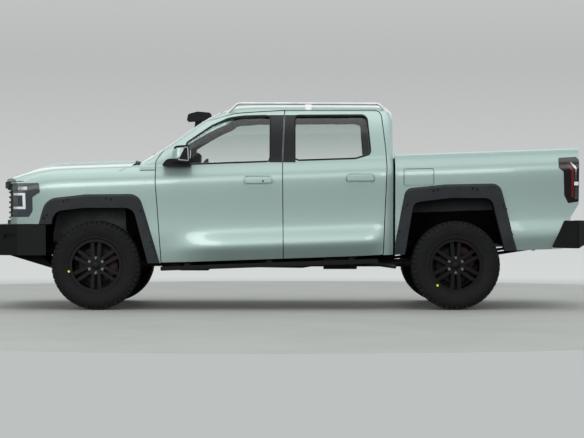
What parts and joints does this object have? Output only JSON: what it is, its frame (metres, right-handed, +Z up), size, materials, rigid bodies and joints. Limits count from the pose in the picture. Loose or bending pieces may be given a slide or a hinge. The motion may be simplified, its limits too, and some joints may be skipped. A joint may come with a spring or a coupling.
{
  "type": "pickup truck",
  "caption": "Crew-cab pickup with opening doors, bonnet and tailgate, steering front wheels, steel bumpers, arch flares and a raised intake.",
  "frame": {"origin": "on the ground, in the middle of the truck's length and width", "axes": "-X ahead, -Y to the truck's left, +Z up"},
  "size_m": [5.7, 2.28, 1.9498],
  "materials": {
    "body_paint": "pale green gloss paint",
    "black_steel": "black powder coat",
    "chassis_black": "chassis paint with road dust",
    "flare_plastic": "grained charcoal plastic",
    "trim_plastic": "grained black plastic",
    "lamp_clear": "clear lamp cover over reflectors",
    "lamp_red": "smoked red lamp cover",
    "tyre_rubber": "all-terrain rubber",
    "seal_rubber": "black door seal",
    "rim_paint": "satin black wheel paint",
    "glass": "tinted safety glass",
    "silver": "satin aluminium",
    "steel": "exhaust steel",
    "cast_iron": "cast and painted iron",
    "seat_fabric": "dark woven cloth",
    "bed_liner": "sprayed bed liner"
  },
  "bodies": {
    "chassis": {"arch_flares": "flare_plastic", "arch_liners": "trim_plastic", "bed_sides": "body_paint", "cab_shell": "body_paint", "cowl_panel": "trim_plastic", "dashboard": "trim_plastic", "door_seals": "seal_rubber", "driveline": "cast_iron", "engine": "cast_iron", "exhaust": "steel", "fixed_glass": "glass", "frame": "chassis_black", "front_bumper": "black_steel", "front_suspension": "chassis_black", "front_wings": "body_paint", "fuel_tank": "trim_plastic", "grille": "trim_plastic", "headlamps": "lamp_clear", "leaf_springs": "chassis_black", "load_bed": "bed_liner", "rear_axle": "chassis_black", "rear_bumper": "black_steel", "roof_rails": "silver", "seats": "seat_fabric", "side_steps": "black_steel", "skid_plate": "black_steel", "snorkel": "trim_plastic", "steering_wheel": "trim_plastic", "tail_lamps": "lamp_red"},
    "knuckle_left_body": {"knuckle_left": "cast_iron"},
    "knuckle_right_body": {"knuckle_right": "cast_iron"},
    "bonnet_body": {"bonnet": "body_paint"},
    "tailgate_body": {"tailgate": "body_paint"},
    "fuel_flap_body": {"fuel_flap": "body_paint"},
    "door_front_left_body": {"door_front_left": "body_paint", "glass_front_left": "glass", "mirror_left": "body_paint"},
    "door_rear_left_body": {"door_rear_left": "body_paint", "glass_rear_left": "glass"},
    "wheel_front_left_body": {"rim_front_left": "rim_paint", "tyre_front_left": "tyre_rubber"},
    "wheel_rear_left_body": {"rim_rear_left": "rim_paint", "tyre_rear_left": "tyre_rubber"},
    "door_front_right_body": {"door_front_right": "body_paint", "glass_front_right": "glass", "mirror_right": "body_paint"},
    "door_rear_right_body": {"door_rear_right": "body_paint", "glass_rear_right": "glass"},
    "wheel_front_right_body": {"rim_front_right": "rim_paint", "tyre_front_right": "tyre_rubber"},
    "wheel_rear_right_body": {"rim_rear_right": "rim_paint", "tyre_rear_right": "tyre_rubber"}
  },
  "joints": [
    {"name": "steer_left", "type": "hinge", "parent": "chassis", "child": "knuckle_left_body", "pos_m": [-1.755, -0.73, 0.414], "axis": [0, 0, 1], "range_deg": [-32, 32]},
    {"name": "wheel_front_left_spin", "type": "hinge", "parent": "knuckle_left_body", "child": "wheel_front_left_body", "pos_m": [-1.755, -0.84, 0.414], "axis": [0, -1, 0], "continuous": true},
    {"name": "wheel_rear_left_spin", "type": "hinge", "parent": "chassis", "child": "wheel_rear_left_body", "pos_m": [1.595, -0.84, 0.414], "axis": [0, -1, 0], "continuous": true},
    {"name": "door_front_left_hinge", "type": "hinge", "parent": "chassis", "child": "door_front_left_body", "pos_m": [-1.184, -0.957, 0.9], "axis": [0, -0.0262, -0.9997], "range_deg": [0, 70]},
    {"name": "door_rear_left_hinge", "type": "hinge", "parent": "chassis", "child": "door_rear_left_body", "pos_m": [0, -0.957, 0.9], "axis": [0, -0.0262, -0.9997], "range_deg": [0, 70]},
    {"name": "steer_right", "type": "hinge", "parent": "chassis", "child": "knuckle_right_body", "pos_m": [-1.755, 0.73, 0.414], "axis": [0, 0, 1], "range_deg": [-32, 32]},
    {"name": "wheel_front_right_spin", "type": "hinge", "parent": "knuckle_right_body", "child": "wheel_front_right_body", "pos_m": [-1.755, 0.84, 0.414], "axis": [0, -1, 0], "continuous": true},
    {"name": "wheel_rear_right_spin", "type": "hinge", "parent": "chassis", "child": "wheel_rear_right_body", "pos_m": [1.595, 0.84, 0.414], "axis": [0, -1, 0], "continuous": true},
    {"name": "door_front_right_hinge", "type": "hinge", "parent": "chassis", "child": "door_front_right_body", "pos_m": [-1.184, 0.957, 0.9], "axis": [0, -0.0262, 0.9997], "range_deg": [0, 70]},
    {"name": "door_rear_right_hinge", "type": "hinge", "parent": "chassis", "child": "door_rear_right_body", "pos_m": [0, 0.957, 0.9], "axis": [0, -0.0262, 0.9997], "range_deg": [0, 70]},
    {"name": "bonnet_hinge", "type": "hinge", "parent": "chassis", "child": "bonnet_body", "pos_m": [-1.424, 0, 1.412], "axis": [0, 1, 0], "range_deg": [0, 50]},
    {"name": "tailgate_hinge", "type": "hinge", "parent": "chassis", "child": "tailgate_body", "pos_m": [2.728, 0, 0.9708], "axis": [0, 1, 0], "range_deg": [0, 90]},
    {"name": "fuel_flap_hinge", "type": "hinge", "parent": "chassis", "child": "fuel_flap_body", "pos_m": [1.118, -0.964, 1.23], "axis": [0, 0, -1], "range_deg": [0, 85]}
  ],
  "couplings": [
    {"joint": "steer_right", "follows": "steer_left", "ratio": 1}
  ]
}
